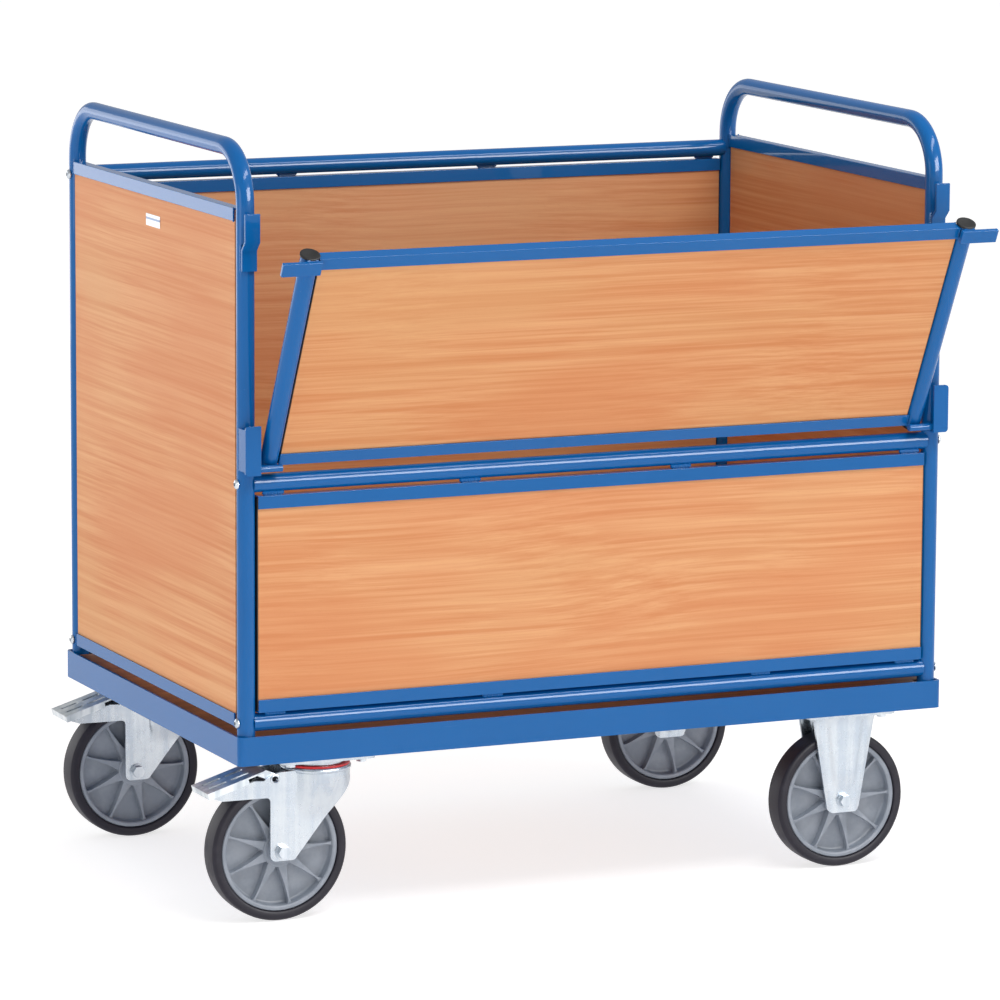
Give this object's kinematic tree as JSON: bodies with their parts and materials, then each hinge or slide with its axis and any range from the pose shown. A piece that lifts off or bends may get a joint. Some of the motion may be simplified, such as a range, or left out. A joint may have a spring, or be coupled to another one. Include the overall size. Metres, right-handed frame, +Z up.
{
  "type": "box trolley",
  "caption": "Platform trolley with board walls on three sides, a low front wall with a tilting upper flap, tube handles at both ends, and swivel and fixed castors.",
  "frame": {"origin": "on the floor under the middle of the platform", "axes": "+Z up, +X along the platform from the swivel castors to the fixed castors, -Y towards the flap side"},
  "size_m": [1.1195, 0.8543, 1.088],
  "materials": {
    "blue_paint": "powder coat",
    "deck_board": "sealed",
    "wall_board": "satin beech decor",
    "zinc_bolt": "zinc plated",
    "zinc_plate": "zinc plated",
    "pedal_chrome": "polished",
    "red_seal": "matte",
    "wheel_grey": "moulded",
    "tyre_rubber": "matte",
    "cap_black": "matte",
    "label_white": "smooth"
  },
  "bodies": {
    "frame": {"sill_front": "blue_paint", "sill_back": "blue_paint", "sill_left": "blue_paint", "sill_right": "blue_paint", "bearers": "blue_paint", "deck": "deck_board", "hoop_left": "blue_paint", "hoop_right": "blue_paint", "end_rail_left_top": "blue_paint", "end_rail_left_low": "blue_paint", "end_rail_right_top": "blue_paint", "end_rail_right_low": "blue_paint", "end_board_left": "wall_board", "end_board_right": "wall_board", "back_tube": "blue_paint", "back_rail": "blue_paint", "back_board": "wall_board", "front_tube": "blue_paint", "front_rail": "blue_paint", "front_board": "wall_board", "low_tubes": "blue_paint", "low_rails": "blue_paint", "frame_bolts": "zinc_bolt", "hooks": "blue_paint", "brackets": "blue_paint", "mount_bolts": "zinc_bolt", "label": "label_white", "plate_front": "zinc_plate", "plate_back": "zinc_plate", "fixed_fork_front": "zinc_plate", "fixed_fork_back": "zinc_plate", "fixed_axle_front": "zinc_bolt", "fixed_axle_back": "zinc_bolt"},
    "fork_left_front": {"fork_front": "zinc_plate", "ring_front": "red_seal", "axle_front": "zinc_bolt"},
    "fork_left_back": {"fork_back": "zinc_plate", "ring_back": "red_seal", "axle_back": "zinc_bolt"},
    "wheel_left_front": {"wheel_front": "wheel_grey", "tyre_front": "tyre_rubber"},
    "wheel_left_back": {"wheel_back": "wheel_grey", "tyre_back": "tyre_rubber"},
    "wheel_right_front": {"fixed_wheel_front": "wheel_grey", "fixed_tyre_front": "tyre_rubber"},
    "wheel_right_back": {"fixed_wheel_back": "wheel_grey", "fixed_tyre_back": "tyre_rubber"},
    "brake_front": {"pedal_front": "pedal_chrome"},
    "brake_back": {"pedal_back": "pedal_chrome"},
    "pins": {"flap_pins": "blue_paint"},
    "flap": {"flap_tube_left": "blue_paint", "flap_tube_right": "blue_paint", "flap_rail_top": "blue_paint", "flap_rail_low": "blue_paint", "flap_board": "wall_board", "flap_caps": "cap_black", "flap_lugs": "blue_paint"}
  },
  "joints": [
    {"name": "swivel_left_front", "type": "hinge", "parent": "frame", "child": "fork_left_front", "pos_m": [-0.405, -0.288, 0.214], "axis": [0, 0, 1], "continuous": true},
    {"name": "spin_left_front", "type": "hinge", "parent": "fork_left_front", "child": "wheel_left_front", "pos_m": [-0.465, -0.288, 0.1], "axis": [0, 1, 0], "continuous": true},
    {"name": "brake_pedal_front", "type": "hinge", "parent": "fork_left_front", "child": "brake_front", "pos_m": [-0.476, -0.288, 0.203], "axis": [0, -1, 0], "range_deg": [0, 4]},
    {"name": "spin_right_front", "type": "hinge", "parent": "frame", "child": "wheel_right_front", "pos_m": [0.405, -0.288, 0.1], "axis": [0, 1, 0], "continuous": true},
    {"name": "swivel_left_back", "type": "hinge", "parent": "frame", "child": "fork_left_back", "pos_m": [-0.405, 0.288, 0.214], "axis": [0, 0, 1], "continuous": true},
    {"name": "spin_left_back", "type": "hinge", "parent": "fork_left_back", "child": "wheel_left_back", "pos_m": [-0.465, 0.288, 0.1], "axis": [0, 1, 0], "continuous": true},
    {"name": "brake_pedal_back", "type": "hinge", "parent": "fork_left_back", "child": "brake_back", "pos_m": [-0.476, 0.288, 0.203], "axis": [0, -1, 0], "range_deg": [0, 4]},
    {"name": "spin_right_back", "type": "hinge", "parent": "frame", "child": "wheel_right_back", "pos_m": [0.405, 0.288, 0.1], "axis": [0, 1, 0], "continuous": true},
    {"name": "flap_lift", "type": "slide", "parent": "frame", "child": "pins", "axis": [0, 0, 1], "range_m": [0, 0.052]},
    {"name": "flap_tilt", "type": "hinge", "parent": "pins", "child": "flap", "pos_m": [0, -0.354, 0.6435], "axis": [1, 0, 0], "range_deg": [-24, 152]}
  ]
}
